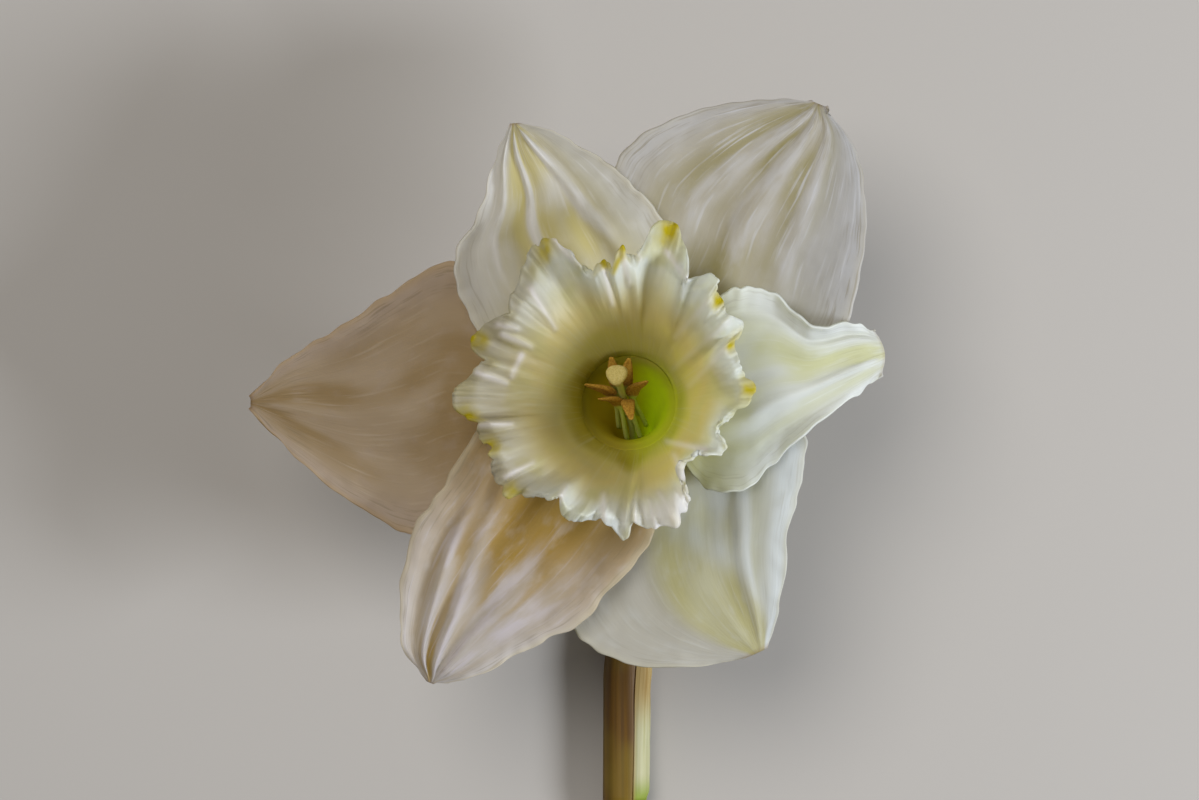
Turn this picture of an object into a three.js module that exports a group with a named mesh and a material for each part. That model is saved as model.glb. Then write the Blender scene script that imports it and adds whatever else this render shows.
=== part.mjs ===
// A single white daffodil with a ruffled cup, cut and laid down on its stem.
//
// Millimetres, +Z up. The stem lies along Y on z = 0 with its cut end towards -Y, the neck
// bends up, and the bloom opens upwards over x = 0, y = 0. The last lines shift the whole
// flower, so that the origin is the middle of its bounding box on the surface it lies on.
import * as THREE from 'three';

// ---------------------------------------------------------------- driving dimensions

const GAP = 0.3; // between two pieces that grew together
const PETAL_THICKNESS = 0.6;

const CUT_END_Y = -150;
const NODE_Y = -68; // where the bract grows from the stalk
const SCAPE_WIDTH = 8.4;
const SCAPE_HEIGHT = 6.5;
const SCAPE_SIDES = 14;
const PITH_RADIUS = 1.7; // the hollow seen at the cut end
const PITH_DEPTH = 9;
const NECK_RADIUS = 2.8;
const SHOULDER_RADIUS = 3.6; // the neck just past the node
const TAPER_FROM = 21; // past the node
const TAPER_TO = 34;
const NECK_SHIFT = 0.55; // left and up, where the bract lies against the neck
const OVARY_LENGTH = 10;
const OVARY_RADIUS = 4.1;

const MOUTH = { x: -0.2, y: -1.0, z: 39.5 }; // centre of the floral tube's mouth
const TUBE_LENGTH = 20.5;
const TUBE_FLOOR = 1.2;
const TUBE_WALL = 0.8;
const MOUTH_RADIUS = 7.8; // inside the floral tube
const PETAL_RING = 9.4; // where the petals spring from the tube

const CUP_BASE_Z = 40.1;
const CUP_RIM = { x: -4.4, y: 0.7, z: 58.5 }; // centre of the cup's rim
const CUP_LEAN_X = 0.21; // slope of the rim plane, right side high
const CUP_LEAN_Y = -0.1;
const CUP_MEAN_RADIUS = 21;

// Centreline of the stalk and tube, from the cut end to the tube's mouth.
const STALK_Z = (SCAPE_HEIGHT / 2) * Math.cos(Math.PI / SCAPE_SIDES);
const AXIS_POINTS = [
  [-0.1, CUT_END_Y, STALK_Z],
  [-0.1, -105, STALK_Z],
  [-0.1, -57, STALK_Z],
  [-0.1, -38, 3.9],
  [0.2, -25, 4.4],
  [0.9, -17, 7.4],
  [1.2, -12.8, 13],
  [1.1, -9.6, 20],
  [0.5, -4.8, 28.5],
  [MOUTH.x, MOUTH.y, MOUTH.z - 4],
  [MOUTH.x, MOUTH.y, MOUTH.z],
];

// ---------------------------------------------------------------- materials

function plantMaterial(color, roughness) {
  return new THREE.MeshStandardMaterial({ color, roughness, metalness: 0 });
}

const outerWhite = plantMaterial('#d9d3c2', 0.6);
const innerWhite = plantMaterial('#e6e3d6', 0.6);
const cupCream = plantMaterial('#e4dcb4', 0.6);
const stemGreen = plantMaterial('#8f9d4e', 0.55);
const tubeGreen = plantMaterial('#a6b44a', 0.55);
const paperTan = plantMaterial('#b99a67', 0.8);
const antherBrown = plantMaterial('#b07a38', 0.8);
const stigmaCream = plantMaterial('#d8c08e', 0.7);

// ---------------------------------------------------------------- curves

// Smooth run through evenly spaced values, for t from 0 to 1.
function smooth(values, t) {
  const spans = values.length - 1;
  const place = Math.min(Math.max(t, 0), 1) * spans;
  const i = Math.min(Math.floor(place), spans - 1);
  const f = place - i;
  const b = values[i];
  const c = values[i + 1];
  const a = i > 0 ? values[i - 1] : 2 * b - c;
  const d = i < spans - 1 ? values[i + 2] : 2 * c - b;
  const curve = 2 * a - 5 * b + 4 * c - d + f * (3 * (b - c) + d - a);
  return b + 0.5 * f * (c - a + f * curve);
}

// The same for a list of [x, y] points.
function smoothPoint(points, t) {
  const x = smooth(points.map((p) => p[0]), t);
  const y = smooth(points.map((p) => p[1]), t);
  return [x, y];
}

function route(points) {
  const knots = points.map((p) => new THREE.Vector3(...p));
  return new THREE.CatmullRomCurve3(knots, false, 'catmullrom', 0.5);
}

// ---------------------------------------------------------------- solids

// Bends a lathed solid, whose own axis runs up +Y, onto a centreline: its y is the distance
// along the line. `squash` narrows the section along the line's upward normal.
function bendOnto(geometry, line, start = 0, squash = 1) {
  const length = line.getLength();
  const position = geometry.attributes.position;
  for (let i = 0; i < position.count; i += 1) {
    const at = Math.min(Math.max((start + position.getY(i)) / length, 0), 1);
    const centre = line.getPointAt(at);
    const tangent = line.getTangentAt(at);
    const side = new THREE.Vector3(1, 0, 0).addScaledVector(tangent, -tangent.x).normalize();
    const up = new THREE.Vector3().crossVectors(side, tangent);
    centre.addScaledVector(side, position.getX(i));
    centre.addScaledVector(up, position.getZ(i) * squash);
    position.setXYZ(i, centre.x, centre.y, centre.z);
  }
  geometry.computeVertexNormals();
  return geometry;
}

// Closed solid between a surface and its copy one thickness below. The surface is a function
// of u and v, each 0 to 1; with `ring` it closes on itself along v.
function blade(surface, uSteps, vSteps, thickness, ring = false) {
  const columns = ring ? vSteps : vSteps + 1;
  const layer = (uSteps + 1) * columns;
  const positions = [];
  const lower = [];
  const step = 1e-3;
  for (let i = 0; i <= uSteps; i += 1) {
    for (let j = 0; j < columns; j += 1) {
      const u = i / uSteps;
      const v = j / vSteps;
      const here = surface(u, v);
      const alongU = surface(Math.min(u + step, 1), v).sub(surface(Math.max(u - step, 0), v));
      const low = ring ? v - step : Math.max(v - step, 0);
      const high = ring ? v + step : Math.min(v + step, 1);
      const alongV = surface(u, high).sub(surface(u, low));
      const normal = new THREE.Vector3().crossVectors(alongU, alongV).normalize();
      positions.push(here.x, here.y, here.z);
      here.addScaledVector(normal, -thickness);
      lower.push(here.x, here.y, here.z);
    }
  }
  positions.push(...lower);

  const index = [];
  const quad = (a, b, c, d) => index.push(a, b, c, a, c, d);
  const spot = (i, j) => i * columns + (j % columns);
  for (let i = 0; i < uSteps; i += 1) {
    for (let j = 0; j < vSteps; j += 1) {
      const a = spot(i, j);
      const b = spot(i + 1, j);
      const c = spot(i + 1, j + 1);
      const d = spot(i, j + 1);
      quad(a, b, c, d);
      index.push(a + layer, c + layer, b + layer, a + layer, d + layer, c + layer);
    }
  }
  for (let j = 0; j < vSteps; j += 1) {
    quad(spot(0, j), spot(0, j + 1), spot(0, j + 1) + layer, spot(0, j) + layer);
    const near = spot(uSteps, j);
    const far = spot(uSteps, j + 1);
    quad(far, near, near + layer, far + layer);
  }
  if (!ring) {
    for (let i = 0; i < uSteps; i += 1) {
      quad(spot(i + 1, 0), spot(i, 0), spot(i, 0) + layer, spot(i + 1, 0) + layer);
      const near = spot(i, vSteps);
      const far = spot(i + 1, vSteps);
      quad(near, far, far + layer, near + layer);
    }
  }
  const geometry = new THREE.BufferGeometry();
  geometry.setAttribute('position', new THREE.Float32BufferAttribute(positions, 3));
  geometry.setIndex(index);
  geometry.computeVertexNormals();
  return geometry;
}

const flower = new THREE.Group();

function add(name, geometry, material) {
  const mesh = new THREE.Mesh(geometry, material);
  mesh.name = name;
  flower.add(mesh);
}

// ---------------------------------------------------------------- stalk, ovary and tube

const axis = route(AXIS_POINTS);
const AXIS_LENGTH = axis.getLength();
const TUBE_START = AXIS_LENGTH - TUBE_LENGTH;
const OVARY_START = TUBE_START - GAP - OVARY_LENGTH;
const STALK_LENGTH = OVARY_START - GAP;
const NODE_AT = NODE_Y - CUT_END_Y;

function axisPoint(distance) {
  return axis.getPointAt(distance / AXIS_LENGTH);
}

function profile(...points) {
  return points.map((p) => new THREE.Vector2(p[0], p[1]));
}

// Even steps along a straight run of a lathe profile, so that it can bend.
function run(radiusA, fromY, radiusB, toY, steps) {
  const points = [];
  for (let i = 1; i <= steps; i += 1) {
    const f = i / steps;
    points.push([radiusA + (radiusB - radiusA) * f, fromY + (toY - fromY) * f]);
  }
  return points;
}

function scape() {
  const wide = SCAPE_WIDTH / 2;
  const outline = profile(
    [0, PITH_DEPTH],
    [PITH_RADIUS, PITH_DEPTH],
    [PITH_RADIUS, 0],
    [wide, 0],
    ...run(wide, 0, wide, NODE_AT - 0.6, 6),
    [SHOULDER_RADIUS, NODE_AT],
    ...run(SHOULDER_RADIUS, NODE_AT, SHOULDER_RADIUS - 0.1, NODE_AT + TAPER_FROM, 3),
    ...run(SHOULDER_RADIUS - 0.1, NODE_AT + TAPER_FROM, NECK_RADIUS, NODE_AT + TAPER_TO, 4),
    ...run(NECK_RADIUS, NODE_AT + TAPER_TO, NECK_RADIUS, STALK_LENGTH - 4, 7),
    [NECK_RADIUS * 1.08, STALK_LENGTH],
    [0, STALK_LENGTH],
  );
  const solid = new THREE.LatheGeometry(outline, SCAPE_SIDES, Math.PI / SCAPE_SIDES);
  const position = solid.attributes.position;
  const squash = SCAPE_HEIGHT / SCAPE_WIDTH;
  for (let i = 0; i < position.count; i += 1) {
    const past = position.getY(i) - NODE_AT;
    const leaves = THREE.MathUtils.smoothstep(past, -0.6, 0);
    const returns = THREE.MathUtils.smoothstep(past, TAPER_FROM, TAPER_TO);
    const shift = NECK_SHIFT * leaves * (1 - returns);
    position.setX(i, position.getX(i) - shift);
    position.setZ(i, position.getZ(i) + shift / squash);
  }
  return bendOnto(solid, axis, 0, squash);
}

// Three rounded angles, as the three seed chambers inside make them.
function ovary() {
  const outline = profile(
    [0, 0],
    [NECK_RADIUS * 0.95, 0],
    [OVARY_RADIUS * 0.86, OVARY_LENGTH * 0.2],
    [OVARY_RADIUS, OVARY_LENGTH * 0.5],
    [OVARY_RADIUS * 0.9, OVARY_LENGTH * 0.8],
    [3.3, OVARY_LENGTH],
    [0, OVARY_LENGTH],
  );
  const solid = new THREE.LatheGeometry(outline, 18);
  const position = solid.attributes.position;
  for (let i = 0; i < position.count; i += 1) {
    const x = position.getX(i);
    const z = position.getZ(i);
    const swell = 1 + 0.05 * Math.cos(3 * Math.atan2(x, z));
    position.setX(i, x * swell);
    position.setZ(i, z * swell);
  }
  return bendOnto(solid, axis, OVARY_START);
}

// A funnel with a closed floor over the ovary. Both walls follow the same flare.
function floralTube() {
  const flare = [2.5, 2.7, 3.2, 4.0, 5.2, 6.6, MOUTH_RADIUS];
  const inside = [];
  const outside = [];
  for (let i = 0; i <= 12; i += 1) {
    const t = i / 12;
    const radius = smooth(flare, t);
    inside.push([radius, TUBE_FLOOR + (TUBE_LENGTH - TUBE_FLOOR) * t]);
    outside.push([radius + TUBE_WALL, TUBE_LENGTH * t]);
  }
  const outline = profile([0, 0], ...outside, ...inside.reverse(), [0, TUBE_FLOOR]);
  return bendOnto(new THREE.LatheGeometry(outline, 24), axis, TUBE_START);
}

// ---------------------------------------------------------------- papery bract

// A dry sheath against the right and under side of the neck. From the node it opens towards
// the bloom, spreads into a shallow tray on the surface and ends in a point.
function spathe() {
  const fromY = NODE_Y + GAP;
  const toY = -7;
  const reach = SHOULDER_RADIUS + GAP;
  const halfWidth = [reach, reach, 3.95, 4.9, 7.8, 7.8, 0.9];
  const halfHeight = [3.1, 3.1, 3.15, 3.4, 3.9, 3.6, 1.6];
  const middleX = [-0.65, -0.65, -0.65, -0.4, 0, 0, 0];
  const middleZ = [3.72, 3.72, 4, 3.5, 2.6, 2, 1.6];
  const rightEdge = [66, 62, 58, 50, 26, 6, -40];
  const leftEdge = [-125, -125, -128, -140, -165, -180, -140];
  const surface = (u, v) => {
    const from = smooth(rightEdge, u);
    const to = smooth(leftEdge, u);
    const angle = THREE.MathUtils.degToRad(from + (to - from) * v);
    const fold = 1 + 0.03 * Math.sin(Math.PI * u) * Math.cos(9 * angle);
    const x = smooth(middleX, u) + smooth(halfWidth, u) * fold * Math.cos(angle);
    const z = smooth(middleZ, u) + smooth(halfHeight, u) * fold * Math.sin(angle);
    return new THREE.Vector3(x, fromY + (toY - fromY) * u, Math.max(z, PETAL_THICKNESS));
  };
  return blade(surface, 16, 16, PETAL_THICKNESS);
}

// ---------------------------------------------------------------- petals

function ringPoint(degrees) {
  const angle = THREE.MathUtils.degToRad(degrees);
  const x = MOUTH.x + PETAL_RING * Math.cos(angle);
  const y = MOUTH.y + PETAL_RING * Math.sin(angle);
  return [x, y];
}

// Each petal is two edges in plan, from the ring to the tip, and the height of its middle.
// `before` is the edge on the clockwise side and `after` the one on the other side, seen from
// above. `cup` lifts both edges, `tilt` lifts the after edge and drops the other, `pleats`
// are the folds along the petal (height, number across, phase) and `frill` waves the edges
// (height, number along, phase). `nose` rounds a blunt tip.
const PETALS = {
  outer_petal_1: {
    facing: 57,
    spread: 50,
    after: [
      [-2.5, 13], [-4, 21.5], [-4.2, 30], [-0.8, 38.7],
      [9.5, 44.6], [21.3, 46.8], [28.8, 46.6],
    ],
    before: [
      [15, 1.4], [22.9, 3.6], [32.4, 7.9], [35.6, 16],
      [37.3, 26.9], [36, 37.9], [31, 45.7],
    ],
    heights: [38.3, 39.3, 40, 39.8, 38],
    cup: 1.2,
    tilt: 0,
    pleats: [0.35, 2.5, 0.6],
    frill: [0.4, 2, 0.3],
  },
  outer_petal_2: {
    facing: 296,
    spread: 50,
    after: [
      [14.5, -2.2], [21.3, -2.4], [27.3, -5.5], [27.5, -12],
      [25.3, -20.5], [24, -31.6], [21.8, -40.3],
    ],
    before: [
      [-5, -13.5], [-7.6, -20], [-10.1, -28.4], [-9.2, -36.3],
      [-2.8, -41.7], [7.9, -43.1], [18.2, -41.9],
    ],
    heights: [38.3, 39.2, 39.6, 39, 36.5],
    cup: 0.8,
    tilt: 0,
    pleats: [0.4, 2, 1.5],
    frill: [0.5, 2.5, 1],
  },
  outer_petal_3: {
    facing: 181,
    spread: 50,
    after: [
      [-12, -12], [-20.5, -17], [-28.4, -20.5], [-34.5, -21.8],
      [-42.4, -18.2], [-53, -10], [-60.5, -1.9],
    ],
    before: [
      [-12, 11], [-20.5, 17], [-28, 21], [-36, 17.4],
      [-45, 11.4], [-54.3, 5.8], [-60.5, -0.5],
    ],
    heights: [38.3, 39.3, 39.2, 37.5, 34],
    cup: 0.8,
    tilt: 0,
    pleats: [0.3, 2, 0],
    frill: [0.4, 2, 2],
  },
  inner_petal_1: {
    facing: 113,
    spread: 48,
    after: [
      [-14.5, 3.8], [-21.3, 7.1], [-25.8, 13.3], [-27.5, 21],
      [-23.8, 28.2], [-21.8, 35.8], [-18.9, 42.7],
    ],
    before: [
      [5.5, 11.5], [7.3, 18.5], [5.2, 26.8], [1.1, 32.2],
      [-4.7, 37], [-11.9, 41.4], [-17.5, 42.8],
    ],
    heights: [39.5, 42.2, 43.6, 43.6, 42.5],
    cup: 0.6,
    tilt: 0,
    pleats: [0.5, 3.5, 0.8],
    frill: [0.5, 2, 0],
  },
  inner_petal_2: {
    facing: 7,
    spread: 48,
    after: [
      [8.5, 10.5], [12.9, 14.8], [17.4, 16.9], [22.6, 15.5],
      [28.1, 10.8], [35, 11.3], [38.5, 9.9],
    ],
    before: [
      [8.4, -10.4], [12.3, -14.7], [18.2, -14.9], [22.9, -10.3],
      [28.8, -4.8], [35.4, -0.3], [39.5, 3.3],
    ],
    heights: [39.5, 42.4, 43.6, 43.4, 42],
    cup: 0.9,
    tilt: 1.2,
    pleats: [0.4, 2.5, 2],
    frill: [0.7, 3, 0.5],
    nose: 1.1,
  },
  inner_petal_3: {
    facing: 235,
    spread: 48,
    after: [
      [3, -14.5], [3.5, -22.3], [-2.4, -30.3], [-9.5, -36.7],
      [-17.4, -40.6], [-25.3, -44.6], [-31, -45.7],
    ],
    before: [
      [-15, -3.2], [-22.9, -4.7], [-28.6, -13.1], [-33.2, -19.8],
      [-35.7, -29.2], [-36, -38.7], [-32.2, -45.2],
    ],
    heights: [39.5, 42.2, 43.2, 42.4, 40.2],
    cup: 0.6,
    tilt: 0,
    pleats: [0.65, 4.5, 0.4],
    frill: [0.4, 2.5, 1.2],
  },
};

function petalSurface(petal) {
  const after = [ringPoint(petal.facing + petal.spread), ...petal.after];
  const before = [ringPoint(petal.facing - petal.spread), ...petal.before];
  const facing = THREE.MathUtils.degToRad(petal.facing);
  const bow = PETAL_RING * (1 - Math.cos(THREE.MathUtils.degToRad(petal.spread)));
  const [pleatHeight, pleatCount, pleatPhase] = petal.pleats;
  const [frillHeight, frillCount, frillPhase] = petal.frill;
  return (u, v) => {
    const across = 2 * v - 1;
    const [ax, ay] = smoothPoint(before, u);
    const [bx, by] = smoothPoint(after, u);
    const bulge = bow * Math.max(1 - u / 0.35, 0) ** 2 * (1 - across ** 2);
    const nose = (petal.nose ?? 0) * THREE.MathUtils.smoothstep(u, 0.8, 1) * (1 - across ** 2);
    const x = ax + (bx - ax) * v + (bulge + nose) * Math.cos(facing);
    const y = ay + (by - ay) * v + (bulge + nose) * Math.sin(facing);
    const grown = Math.min(u / 0.3, 1);
    const body = Math.sin(Math.PI * Math.min(u + 0.06, 1)) ** 0.8;
    let z = smooth(petal.heights, u);
    z += grown * (petal.cup * across ** 2 + petal.tilt * across) * body;
    z += pleatHeight * body * grown * Math.cos(Math.PI * pleatCount * across + pleatPhase);
    z += frillHeight * across ** 4 * grown * Math.sin(2 * Math.PI * frillCount * u + frillPhase);
    return new THREE.Vector3(x, y, z);
  };
}

// ---------------------------------------------------------------- cup

// The ruffled rim in plan: angle in degrees and radius about the rim's centre. Long lobes
// turn out and down, and the notches between them stand up.
const RIM = [
  [0, 23.1], [7, 22], [12.5, 21.3], [20, 21.5], [25, 24], [33, 22.5], [40, 22.4], [47, 24.2],
  [52, 21.3], [57.5, 24.5], [65.5, 28.6], [72, 27.2], [76, 21.3], [82, 21.5], [86, 18.5],
  [90, 20.2], [96, 18.6], [101, 20], [108, 24.4], [115.5, 25], [120, 23.8], [127.5, 20.6],
  [134, 20.5], [141, 18.8], [152, 21.5], [160, 22.2], [165.5, 18.8], [171, 20.3], [178, 22],
  [184, 22.8], [191, 22.3], [194, 20.6], [201, 19.9], [207.5, 19.4], [218, 21], [229, 21.6],
  [238, 19.8], [246, 17.6], [252, 19.9], [260, 20.2], [268, 20.3], [274, 21.6], [278.5, 24],
  [283, 20.8], [288, 22.9], [298, 22.8], [307, 22.2], [311, 19.6], [316, 16.4], [326, 17.4],
  [333, 20.3], [341.5, 18.9], [348, 20.1], [354, 22],
];
const LOBE_DROP = 0.6; // how far a lobe turns down for each millimetre it sticks out

// Smooth run round the rim, for v from 0 to 1, of [angle, radius].
function rimAt(v) {
  const count = RIM.length;
  const place = (((v % 1) + 1) % 1) * count;
  const i = Math.floor(place);
  const f = place - i;
  const near = [];
  for (let k = -1; k <= 2; k += 1) {
    const [angle, radius] = RIM[(i + k + count) % count];
    near.push([angle + 360 * Math.floor((i + k) / count), radius]);
  }
  const mix = (a, b, c, d) => {
    const curve = 2 * a - 5 * b + 4 * c - d + f * (3 * (b - c) + d - a);
    return b + 0.5 * f * (c - a + f * curve);
  };
  return [0, 1].map((k) => mix(near[0][k], near[1][k], near[2][k], near[3][k]));
}

function cupSurface(u, v) {
  const [degrees, radius] = rimAt(v);
  const angle = THREE.MathUtils.degToRad(degrees);
  const lobe = radius - CUP_MEAN_RADIUS;
  const swept = CUP_MEAN_RADIUS + lobe * u ** 2;
  const rimX = CUP_RIM.x + swept * Math.cos(angle);
  const rimY = CUP_RIM.y + swept * Math.sin(angle);
  const lean = CUP_LEAN_X * swept * Math.cos(angle) + CUP_LEAN_Y * swept * Math.sin(angle);
  const rimZ = CUP_RIM.z + lean - LOBE_DROP * lobe * u ** 2;
  const baseX = MOUTH.x + MOUTH_RADIUS * Math.cos(angle);
  const baseY = MOUTH.y + MOUTH_RADIUS * Math.sin(angle);
  const out = u ** 1.25;
  const rise = 1 - (1 - u) ** 1.5;
  const x = baseX + (rimX - baseX) * out;
  const y = baseY + (rimY - baseY) * out;
  const z = CUP_BASE_Z + (rimZ - CUP_BASE_Z) * rise;
  return new THREE.Vector3(x, y, z);
}

// ---------------------------------------------------------------- stamens and pistil

// Anther tips in plan; the six stand round the style and lean outwards.
const ANTHER_TIPS = [[2.7, 2.2], [-0.2, 5.8], [-3.0, 6.0], [-7.1, 1.7], [-4.9, -0.6], [0.2, -3.9]];
const ANTHER_ROOT = { x: -1.2, y: 0.2, z: 37.5, radius: 2.1 };
const FIRST_ROOT = 5; // degrees; the roots are evenly spaced
const ANTHER_TIP_Z = 42.5;
const ANTHER_RADIUS = 0.75;
const FILAMENT_RADIUS = 0.4;
const FILAMENT_FOOT = axisPoint(TUBE_START + TUBE_LENGTH * 0.4);
const FILAMENT_SPREAD = 2.2;

function stamen(tip, i) {
  const outwards = THREE.MathUtils.degToRad(FIRST_ROOT + (360 / ANTHER_TIPS.length) * i);
  const root = [
    ANTHER_ROOT.x + ANTHER_ROOT.radius * Math.cos(outwards),
    ANTHER_ROOT.y + ANTHER_ROOT.radius * Math.sin(outwards),
    ANTHER_ROOT.z,
  ];
  const foot = [
    FILAMENT_FOOT.x + FILAMENT_SPREAD * Math.cos(outwards),
    FILAMENT_FOOT.y + FILAMENT_SPREAD * Math.sin(outwards),
    FILAMENT_FOOT.z,
  ];
  const line = route([foot, root, [tip[0], tip[1], ANTHER_TIP_Z]]);
  const length = line.getLength();
  const antherStart = length * 0.62;
  const antherLength = length - antherStart;
  const outline = profile(
    [0, 0],
    [FILAMENT_RADIUS, 0],
    ...run(FILAMENT_RADIUS, 0, FILAMENT_RADIUS * 0.8, antherStart, 5),
    [ANTHER_RADIUS * 0.85, antherStart + antherLength * 0.12],
    [ANTHER_RADIUS, antherStart + antherLength * 0.4],
    [ANTHER_RADIUS * 0.9, antherStart + antherLength * 0.75],
    [ANTHER_RADIUS * 0.45, antherStart + antherLength * 0.97],
    [0, length],
  );
  return bendOnto(new THREE.LatheGeometry(outline, 8), line);
}

const STYLE_FOOT = axisPoint(TUBE_START + TUBE_FLOOR + GAP);
const STYLE_LINE = [STYLE_FOOT.toArray(), [0.3, -4.6, 30], [-1.2, 0.2, 38.5], [-2.2, 3.4, 47]];
const STYLE_RADIUS = 0.55;
const STIGMA_RADIUS = 1.5;

function pistil() {
  const line = route(STYLE_LINE);
  const length = line.getLength();
  const headStart = length - 2.2;
  const outline = profile(
    [0, 0],
    [STYLE_RADIUS, 0],
    ...run(STYLE_RADIUS, 0, STYLE_RADIUS, headStart, 7),
    [STIGMA_RADIUS * 0.8, headStart + 0.9],
    [STIGMA_RADIUS, headStart + 1.6],
    [STIGMA_RADIUS * 0.7, length],
    [0, length - 0.3],
  );
  const solid = new THREE.LatheGeometry(outline, 15);
  const position = solid.attributes.position;
  for (let i = 0; i < position.count; i += 1) {
    const x = position.getX(i);
    const z = position.getZ(i);
    const head = Math.max(Math.hypot(x, z) - STYLE_RADIUS, 0) / (STIGMA_RADIUS - STYLE_RADIUS);
    const lobes = 1 + 0.22 * head * Math.cos(3 * Math.atan2(x, z));
    position.setX(i, x * lobes);
    position.setZ(i, z * lobes);
  }
  return bendOnto(solid, line);
}

// ---------------------------------------------------------------- assembly

add('scape', scape(), stemGreen);
add('spathe', spathe(), paperTan);
add('ovary', ovary(), stemGreen);
add('floral_tube', floralTube(), tubeGreen);
for (const [name, petal] of Object.entries(PETALS)) {
  const white = name.startsWith('outer') ? outerWhite : innerWhite;
  add(name, blade(petalSurface(petal), 16, 12, PETAL_THICKNESS), white);
}
add('corona', blade(cupSurface, 9, RIM.length * 2, PETAL_THICKNESS, true), cupCream);
ANTHER_TIPS.forEach((tip, i) => add(`stamen_${i + 1}`, stamen(tip, i), antherBrown));
add('pistil', pistil(), stigmaCream);

const box = new THREE.Box3().setFromObject(flower);
const middle = box.getCenter(new THREE.Vector3());
flower.position.set(-middle.x, -middle.y, -box.min.z);

export default flower;
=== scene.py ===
import math
import bmesh
import bpy
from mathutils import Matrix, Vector, noise


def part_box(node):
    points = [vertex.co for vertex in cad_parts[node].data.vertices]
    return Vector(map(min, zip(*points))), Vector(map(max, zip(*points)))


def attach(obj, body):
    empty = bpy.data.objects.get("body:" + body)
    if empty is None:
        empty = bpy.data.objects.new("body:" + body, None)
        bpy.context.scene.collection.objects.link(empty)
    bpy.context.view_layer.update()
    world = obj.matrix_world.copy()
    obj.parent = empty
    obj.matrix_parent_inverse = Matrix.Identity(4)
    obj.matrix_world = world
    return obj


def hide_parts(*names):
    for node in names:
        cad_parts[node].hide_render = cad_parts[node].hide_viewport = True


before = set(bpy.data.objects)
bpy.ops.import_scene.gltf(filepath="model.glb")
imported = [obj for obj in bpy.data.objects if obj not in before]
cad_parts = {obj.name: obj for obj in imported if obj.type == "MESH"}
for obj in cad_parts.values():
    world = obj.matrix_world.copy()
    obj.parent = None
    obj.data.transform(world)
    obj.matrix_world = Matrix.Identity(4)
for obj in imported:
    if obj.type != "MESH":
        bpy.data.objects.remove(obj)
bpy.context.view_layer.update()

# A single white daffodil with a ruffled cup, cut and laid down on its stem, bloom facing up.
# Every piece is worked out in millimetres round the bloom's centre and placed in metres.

# ------------------------------------------------------------------ stalk
# The stalk of a daffodil is a smooth, slightly flattened green pipe with a waxy bloom on it.
# It is cut square, and past the node it goes on as a thinner neck that bends up to the bloom.
MM = 0.001
CUT_END_Y = -150.0
NODE_Y = -68.0
STALK_X = -0.1
SCAPE_WIDTH = 8.4
SCAPE_HEIGHT = 6.5
SCAPE_SIDES = 14
NECK_RADIUS = 2.8
SHOULDER_RADIUS = 3.6
NECK_SHIFT = 0.55
TAPER_FROM = 21.0
TAPER_TO = 34.0
PITH_RADIUS = 1.7
PITH_DEPTH = 9.0
GAP = 0.3
BEND_REACH = 2.5
ROUND_SIDES = 48
MOUTH = Vector((-0.2, -1.0, 39.5))
stalk_z = SCAPE_HEIGHT / 2 * math.cos(math.pi / SCAPE_SIDES)
stalk_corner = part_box("scape")[0]
bloom_centre = stalk_corner - Vector((STALK_X - SCAPE_WIDTH / 2, CUT_END_Y, 0)) * MM


def smooth(values, t):
    """Value of a smooth run through evenly spaced stations, t from 0 to 1."""
    spans = len(values) - 1
    place = min(max(t, 0.0), 1.0) * spans
    i = min(int(place), spans - 1)
    f = place - i
    b, c = values[i], values[i + 1]
    a = values[i - 1] if i > 0 else 2 * b - c
    d = values[i + 2] if i < spans - 1 else 2 * c - b
    return b + 0.5 * f * (c - a + f * (2 * a - 5 * b + 4 * c - d + f * (3 * (b - c) + d - a)))


def eased(value, low, high):
    """0 at low, 1 at high, eased between; low may be the larger."""
    share = min(max((value - low) / (high - low), 0.0), 1.0)
    return share * share * (3 - 2 * share)


def route(points, steps=400):
    """Points along a smooth line and the distance of each from its start."""
    knots = [Vector(p) for p in points]
    line = [smooth(knots, i / steps) for i in range(steps + 1)]
    reached = [0.0]
    for here, ahead in zip(line, line[1:]):
        reached.append(reached[-1] + (ahead - here).length)
    return line, reached


def place_on(line, distance):
    """Point of a line at a distance from its start."""
    points, reached = line
    distance = min(max(distance, 0.0), reached[-1])
    low, high = 0, len(points) - 1
    while high - low > 1:
        middle = (low + high) // 2
        if reached[middle] <= distance:
            low = middle
        else:
            high = middle
    share = (distance - reached[low]) / (reached[high] - reached[low])
    return points[low] + (points[high] - points[low]) * share


def lathe(outline, sides):
    """Closed solid of revolution about Y from (radius, y) points that start and end on it."""
    bm = bmesh.new()
    made = [bm.verts.new((0.0, y, radius)) for radius, y in outline]
    edges = [bm.edges.new(pair) for pair in zip(made, made[1:])]
    bmesh.ops.spin(bm, geom=made + edges, axis=(0, 1, 0), cent=(0, 0, 0), dvec=(0, 0, 0),
                   angle=math.tau, steps=sides, use_merge=True, use_duplicate=False)
    bmesh.ops.remove_doubles(bm, verts=bm.verts[:], dist=1e-4)
    return bm


def bend_onto(bm, line, start=0.0, squash=1.0):
    """Lays a lathed solid along a line; squash flattens its section. It keeps its straight
    shape in an attribute, for patterns that follow the bend."""
    reach = bm.verts.layers.float.new("reach")
    straight = bm.verts.layers.float_vector.new("straight")
    length = max(v.co.y for v in bm.verts)
    for vert in bm.verts:
        vert[straight] = vert.co
        here = start + vert.co.y
        centre = place_on(line, here)
        tangent = (place_on(line, here + BEND_REACH) - place_on(line, here - BEND_REACH)).normalized()
        side = (Vector((1, 0, 0)) - tangent * tangent.x).normalized()
        up = side.cross(tangent)
        vert[reach] = vert.co.y / length
        vert.co = centre + side * vert.co.x + up * vert.co.z * squash


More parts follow.
